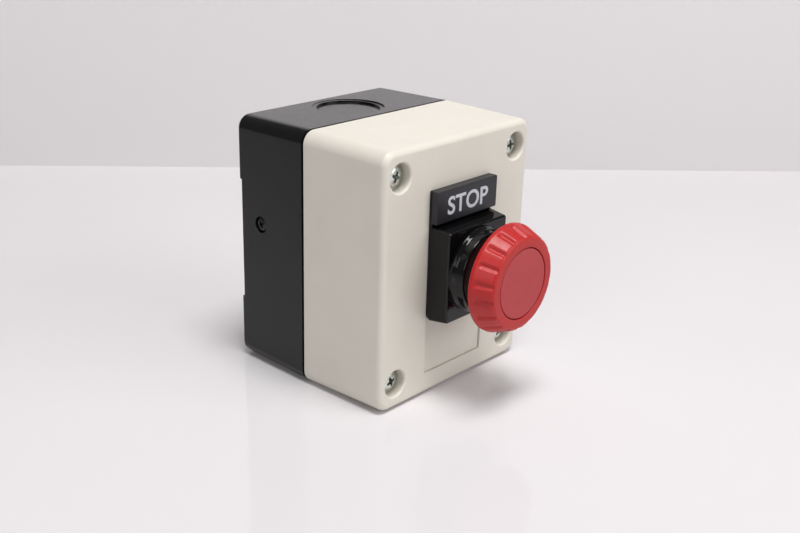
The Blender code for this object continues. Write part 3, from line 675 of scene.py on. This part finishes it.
def base():
    """The black rear half of the box."""
    solid = drafted_block(BASE_LOW.y - 0.1 * MM, BACK, BACK_R, 0.1 * MM, 1)
    inner_back = BACK - BACK_RECESS - BACK_WALL
    holes = [knockout(HEIGHT - DRAFT / 2, 1), knockout(DRAFT / 2, -1)]
    holes += [insert_hole(x, z) for x, z in screw_places()]
    holes += [wall_hole(z, inner_back) for z in (WALL_HOLE_UP, HEIGHT - WALL_HOLE_UP)]
    holes.append(earth_hole())
    inside = cavity(BASE_LOW.y - MM, inner_back)
    data = carved(solid, *less(*inside, back_recess(), together(holes), seam_groove()))
    piece("base_shell", data, LOOKS["black_abs"], "enclosure", "black_abs", "rear_base")


# ---------------------------------------------------------------- screws


def cross_screw(head_r, head_h, shank_r, length):
    """A domed pan head with a tapered cross recess; its seat is z = 0 and its shank hangs below."""
    outline = [
        (0, head_h, 0),
        (0.55 * head_r, head_h - 0.03 * head_h, 0.6 * head_r),
        (head_r, 0.62 * head_h, 0.3 * head_r),
        (head_r, 0, 0.06 * head_r),
        (shank_r, 0, 0),
        (shank_r, -length + shank_r / 2, 0),
        (0.6 * shank_r, -length, 0),
        (0, -length, 0),
    ]
    reach, half_slot = 0.60 * head_r, 0.15 * head_r
    cutters = []
    for turn in (0, math.pi / 2):
        wing = block((-reach, -half_slot, -0.2 * head_h), (reach, half_slot, 1.5 * head_h))
        for vertex in wing.verts:
            if vertex.co.z < head_h:
                vertex.co.x *= 0.45
                vertex.co.y *= 0.65
        cutters.append(moved(wing, Matrix.Rotation(turn, 4, "Z")))
    point = [(0, 1.5 * head_h), (0.30 * head_r, 1.5 * head_h), (0.22 * head_r, 0.15 * head_h), (0, 0)]
    cutters.append(revolved(point, 16))
    return carved(revolved(filleted(outline), 40), *less(*cutters))


def cover_screws():
    zinc = LOOKS["zinc_plated_steel"]
    seat = COUNTERBORE_DEPTH - 0.3 * MM
    for i, ((x, z), turn) in enumerate(zip(screw_places(), COVER_SCREW_TURNS), 1):
        low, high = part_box(f"cover_screw_{i}")
        length = high.y - low.y - COVER_SCREW_HEAD
        data = cross_screw((high.x - low.x) / 2, COVER_SCREW_HEAD, COVER_SCREW_R, length)
        place = Matrix.Translation((x, FRONT + seat, z)) @ Matrix.Rotation(math.pi / 2, 4, "X")
        data.transform(place @ Matrix.Rotation(turn, 4, "Z"))
        piece(f"cover_screw_{i}_head", data, zinc, "enclosure", "zinc_plated_steel", f"cover_screw_{i}")


def earth_screw():
    black = LOOKS["black_zinc_steel"]
    centre = (EARTH_LOW + EARTH_HIGH) / 2
    length = EARTH_HIGH.x - EARTH_LOW.x - EARTH_SCREW_HEAD
    data = cross_screw(centre.z - EARTH_LOW.z, EARTH_SCREW_HEAD, EARTH_SCREW_R, length)
    place = Matrix.Translation((EARTH_LOW.x + EARTH_SCREW_HEAD, centre.y, centre.z))
    sideways = Matrix.Rotation(-math.pi / 2, 4, "Y")
    data.transform(place @ sideways @ Matrix.Rotation(EARTH_SCREW_TURN, 4, "Z"))
    piece("earth_screw_head", data, black, "enclosure", "black_zinc_steel", "earth_screw")


# ---------------------------------------------------------------- bezel and legend


def collar():
    """The turned part of the bezel: the stepped round collar in front, the threaded barrel behind."""
    face, barrel_end = FRONT - BEZEL_LOW.y, FRONT - BEZEL_HIGH.y
    joined = BEZEL_REAR + 0.6 * MM
    outline = [
        (13.4 * MM, face, 0.5 * MM),
        (14.75 * MM, face, 0.6 * MM),
        (15.1 * MM, face - 3.2 * MM, 1.2 * MM),
        (15.9 * MM, BEZEL_SQUARE + 1.1 * MM, 0.5 * MM),
        (15.9 * MM, joined, 0),
        (11 * MM, joined, 0),
        (11 * MM, barrel_end, 0.3 * MM),
        (8.5 * MM, barrel_end, 0),
        (8.5 * MM, 8.5 * MM, 0),
        (6.9 * MM, 8.5 * MM, 0),
        (6.9 * MM, 9.8 * MM, 0.2 * MM),
        (12.6 * MM, 9.8 * MM, 0.3 * MM),
    ]
    return revolved(filleted(outline), 128)


def bezel_square():
    """The square part of the bezel, its sides drawn in, with a hole that the collar fills."""
    half, above, below = BEZEL_HIGH.x, BEZEL_HIGH.z - AXIS_Z, BEZEL_LOW.z - AXIS_Z
    low, high = (-half, below, BEZEL_REAR), (half, above, BEZEL_SQUARE)
    square = block(low, high, 2, BEZEL_CORNER_R, corner_steps=6)
    for vertex in square.verts:
        if vertex.co.z > BEZEL_SQUARE - MM:
            vertex.co.x -= math.copysign(BEZEL_DRAFT, vertex.co.x)
            vertex.co.y -= math.copysign(BEZEL_DRAFT, vertex.co.y)
    round_edges(square, rim(square, 2, BEZEL_SQUARE), 0.7 * MM, 6)
    hole = rod(13.5 * MM, (0, 0, BEZEL_REAR - MM), (0, 0, BEZEL_SQUARE + MM), 64)
    return reopened(carved(square, *less(hole)))


def bezel():
    data = carved(collar(), ("UNION", bezel_square()))
    data.transform(BUTTON)
    piece("bezel", data, LOOKS["gloss_black_nylon"], "enclosure", "gloss_black_nylon", "bezel_housing")


def legend_holder():
    """The thin plate behind the bezel, sharp at its upper corners and round at its lower ones."""
    holder = block(HOLDER_LOW, (HOLDER_HIGH.x, FRONT - 0.05 * MM, HOLDER_HIGH.z))
    for above, corner in ((True, 0.5 * MM), (False, 3 * MM)):
        corners = [edge for edge in holder.edges if span(edge, 1) > MM]
        chosen = [edge for edge in corners if (edge.verts[0].co.z > AXIS_Z) == above]
        round_edges(holder, chosen, corner, 5)
    round_edges(holder, rim(holder, 1, HOLDER_LOW.y), 0.15 * MM, 2)
    hole = rod(14.9 * MM, (0, FRONT - 3 * MM, AXIS_Z), (0, FRONT + MM, AXIS_Z), 64)
    data = carved(holder, *less(hole))
    piece("legend_holder", data, LOOKS["black_abs"], "enclosure", "black_abs", "nameplate_holder")


def legend_face():
    """The raised plate that carries the word."""
    high = (PLATE_HIGH.x, HOLDER_LOW.y - 0.03 * MM, PLATE_HIGH.z)
    plate = block(PLATE_LOW, high, 1, 0.6 * MM, [(PLATE_LOW.y, 0.5 * MM)], 4, 2)
    piece("legend_face", plate, LOOKS["legend_grey"], "enclosure", "legend_grey", "legend_plate")


def legend_word():
    """The word on the plate, in Blender's own typeface, as thin raised print."""
    half_depth = 0.003
    curve = bpy.data.curves.new("word", "FONT")
    curve.body = WORD
    curve.size = 1.0
    curve.offset = 0.02
    curve.extrude = half_depth
    curve.align_x = "CENTER"
    curve.resolution_u = 6
    data = welded(baked(scene_object("word", curve)), 0.0001)
    across = [vertex.co.x for vertex in data.vertices]
    up = [vertex.co.y for vertex in data.vertices]
    wide, tall = max(across) - min(across), max(up) - min(up)
    fit = Matrix.Diagonal((WORD_WIDTH / wide, WORD_HEIGHT / tall, WORD_RELIEF / half_depth, 1))
    centred = Matrix.Translation((0, -min(up) - tall / 2, 0))
    place = Matrix.Translation((0, PLATE_LOW.y, (PLATE_LOW.z + PLATE_HIGH.z) / 2))
    stand = place @ Matrix.Rotation(math.pi / 2, 4, "X")
    data.transform(stand @ fit @ centred)
    piece("legend_word", data, legend_white(), "enclosure", "legend_grey")


# ---------------------------------------------------------------- head


def smooth_step(value, start, end):
    """0 before start, 1 after end, and a smooth rise between them."""
    share = min(max((value - start) / (end - start), 0), 1)
    return share * share * (3 - 2 * share)


def head_ring():
    """The fluted head: a turned shape whose outer cone is pushed in where the flutes run."""
    face, rim_r = FRONT - HEAD_LOW.y, HEAD_HIGH.x
    steps = 8
    outline = filleted(
        [
            (13.15 * MM, face, 0.25 * MM),
            (17.15 * MM, face, 2.0 * MM),
            (rim_r, HEAD_BACK + 1.6 * MM, 1.5 * MM),
            (rim_r, HEAD_BACK, 0.7 * MM),
            (17.9 * MM, HEAD_BACK, 0.3 * MM),
            (15.8 * MM, 25 * MM, 1.2 * MM),
            (6.2 * MM, 25 * MM, 1.2 * MM),
            (6.2 * MM, 10.8 * MM, 0.3 * MM),
            (4.5 * MM, 10.8 * MM, 0),
            (4.5 * MM, 24.8 * MM, 0),
            (1.8 * MM, 24.8 * MM, 0),
            (1.8 * MM, 26 * MM, 0),
            (3.3 * MM, 26 * MM, 0),
            (3.3 * MM, 27.5 * MM, 0),
            (13.15 * MM, 27.5 * MM, 0),
        ],
        steps,
    )
    cone = 2 * (steps + 1)  # the cone's straight side ends at this point and starts at the one before
    rows = 18
    (top_r, top_z), (end_r, end_z) = outline[cone - 1], outline[cone]
    shares = [row / rows for row in range(1, rows)]
    along = [(top_r + (end_r - top_r) * share, top_z + (end_z - top_z) * share) for share in shares]
    bm = revolved(outline[:cone] + along + outline[cone:], 20 * FLUTES)
    flute(bm)
    bm.transform(BUTTON)
    piece("head_ring", bm, LOOKS["red_abs"], "head", "red_abs", "mushroom_head")


def flute(bm):
    """Pushes the outer cone in along evenly spaced troughs that run out at their ends."""
    pitch = 360 / FLUTES
    for vertex in bm.verts:
        radius = math.hypot(vertex.co.x, vertex.co.y)
        if radius < 16 * MM:
            continue
        back = smooth_step(vertex.co.z, 22.9 * MM, 23.8 * MM)
        front = smooth_step(vertex.co.z, 29.95 * MM, 29.1 * MM)
        angle = math.degrees(math.atan2(vertex.co.y, vertex.co.x))
        off = abs((angle % pitch) - pitch / 2)
        trough = 0.5 + 0.5 * math.cos(math.pi * min(off / FLUTE_HALF, 1))
        scale = 1 - FLUTE_DEPTH * (back * front) * trough / radius
        vertex.co.x *= scale
        vertex.co.y *= scale


def head_disc():
    """The matt disc in the middle of the head."""
    low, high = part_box("head_cap")
    radius, face, back = high.x, FRONT - low.y, FRONT - high.y
    corners = [(0, face, 0), (radius, face, 0.3 * MM), (radius, back, 0), (0, back, 0)]
    bm = revolved(filleted(corners, 6), 128)
    bm.transform(BUTTON)
    piece("head_disc", bm, LOOKS["red_matte"], "head", "red_matte", "head_cap")


# ---------------------------------------------------------------- springs


def coil(name, node, wire_r, turns):
    """A compression spring with a closed turn at each end."""
    low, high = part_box(node)
    radius = (high.z - low.z) / 2 - wire_r
    centre_x, centre_z = (low.x + high.x) / 2, (low.z + high.z) / 2
    closed = 2 * wire_r
    length = high.y - low.y - closed
    per_turn = 32
    curve = bpy.data.curves.new(name, "CURVE")
    curve.dimensions = "3D"
    spline = curve.splines.new("POLY")
    spline.points.add(round((turns + 2) * per_turn))
    for i, point in enumerate(spline.points):
        done = i / per_turn
        if done < 1:
            rise = closed * done
        elif done > turns + 1:
            rise = length - closed * (turns + 2 - done)
        else:
            rise = closed + (length - 2 * closed) * (done - 1) / turns
        angle = 2 * math.pi * done
        across, up = radius * math.cos(angle), radius * math.sin(angle)
        point.co = (centre_x + across, low.y + wire_r + rise, centre_z + up, 1)
    curve.bevel_depth = 0.98 * wire_r
    curve.bevel_resolution = 3
    curve.use_fill_caps = True
    data = welded(baked(scene_object(name, curve)), 0.001 * MM)
    made = piece(name, data, LOOKS["spring_steel"], "enclosure", "spring_steel", node)
    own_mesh(made)


# ---------------------------------------------------------------- everything that keeps its CAD shape


def dress_nodes():
    """Every CAD node gets the procedural look of its slot."""
    slots = {entry["node"]: entry["material_slot"] for entry in frame["record"]["subparts"]}
    for name, node in frame["nodes"].items():
        node.data.materials.clear()
        node.data.materials.append(LOOKS[slots[name]])


# ---------------------------------------------------------------- studio


def backdrop_look():
    """A pale glossy table top below, matt wall paint above."""
    graph = Graph("backdrop", TABLE_COLOUR, TABLE_ROUGHNESS)
    graph.surface.inputs["Specular IOR Level"].default_value = TABLE_SPECULAR
    parts = graph.nodes.new("ShaderNodeSeparateXYZ")
    graph.links.new(graph.place, parts.inputs["Vector"])
    above = graph.ramp(parts.outputs["Z"], 0.1 * MM, 0.3 * MM, 0, 1)
    graph.tint(above, WALL_COLOUR)
    clouds = graph.noise(60 * MM, 3)
    worn = graph.ramp(clouds, 0.35, 0.65, TABLE_ROUGHNESS - 0.03, TABLE_ROUGHNESS + 0.03)
    rough = graph.nodes.new("ShaderNodeMath")
    rough.operation = "MAXIMUM"
    graph.links.new(worn, rough.inputs[0])
    graph.links.new(graph.ramp(above, 0, 1, 0, WALL_ROUGHNESS), rough.inputs[1])
    graph.links.new(rough.outputs["Value"], graph.surface.inputs["Roughness"])
    return graph.material


def studio():
    """One folded sheet: the table, the wall and its upper part, which leans back."""
    top = (WALL_DISTANCE + WALL_LEAN, WALL_HEIGHT)
    profile = [(-STUDIO_HALF, 0), (WALL_DISTANCE, 0), (WALL_DISTANCE, WALL_BEND), top]
    bm = bmesh.new()
    verts = [bm.verts.new((-STUDIO_HALF, depth, height)) for depth, height in profile]
    edges = [bm.edges.new(pair) for pair in zip(verts, verts[1:])]
    swept = bmesh.ops.extrude_edge_only(bm, edges=edges)["geom"]
    across = [item for item in swept if isinstance(item, bmesh.types.BMVert)]
    bmesh.ops.translate(bm, verts=across, vec=(2 * STUDIO_HALF, 0, 0))
    data = bpy.data.meshes.new("backdrop")
    bm.to_mesh(data)
    bm.free()
    data.materials.append(backdrop_look())
    made = scene_object("backdrop", data)
    made.matrix_world = Matrix.Rotation(STUDIO_TURN, 4, "Z")


def area_light(name, place, size, power):
    """A softbox that faces the object's middle."""
    light = bpy.data.lights.new(name, "AREA")
    light.shape = "RECTANGLE"
    light.size, light.size_y = size
    light.energy = power
    made = scene_object(name, light)
    aim = (Vector((0, 0, 0.05)) - Vector(place)).to_track_quat("-Z", "Y")
    made.matrix_world = Matrix.Translation(place) @ aim.to_matrix().to_4x4()


def lights():
    """Three softboxes in a pale grey room."""
    area_light("overhead_softbox", (-0.09, -0.22, 1.1), (0.40, 0.40), 10.0)
    area_light("left_softbox", (-1.6, -0.5, 0.8), (1.0, 0.8), 6.5)
    area_light("front_softbox", (0.6, -1.9, 0.9), (1.6, 1.2), 18)
    world = bpy.data.worlds.new("studio")
    world.use_nodes = True
    background = world.node_tree.nodes["Background"]
    background.inputs["Color"].default_value = (0.95, 0.95, 1.0, 1)
    background.inputs["Strength"].default_value = 0.19
    bpy.context.scene.world = world
    bpy.context.scene.view_settings.view_transform = "Standard"


def camera():
    """The scene's camera, where the photographer stood."""
    flat = math.cos(CAMERA_ELEVATION)
    across, away = math.sin(CAMERA_AZIMUTH) * flat, -math.cos(CAMERA_AZIMUTH) * flat
    back = Vector((across, away, math.sin(CAMERA_ELEVATION)))
    right = Vector((0, 0, 1)).cross(back).normalized()
    up = back.cross(right)
    lens = bpy.data.cameras.new("camera")
    lens.lens = CAMERA_LENS
    lens.sensor_width = 36
    lens.sensor_fit = "HORIZONTAL"
    lens.clip_start = 0.01
    made = scene_object("camera", lens)
    turn = Matrix((right, up, back)).transposed() @ Matrix.Rotation(CAMERA_ROLL, 3, "Z")
    made.matrix_world = Matrix.Translation(CAMERA_PLACE) @ turn.to_4x4()
    bpy.context.scene.camera = made


# ---------------------------------------------------------------- build


camera()
dress_nodes()
cover()
base()
cover_screws()
earth_screw()
bezel()
legend_holder()
legend_face()
legend_word()
head_ring()
head_disc()
coil("button_spring", "return_spring", 0.5 * MM, 5)
coil("nc_spring", "nc_return_spring", 0.25 * MM, 6)
coil("no_spring", "no_return_spring", 0.25 * MM, 6)
studio()
lights()
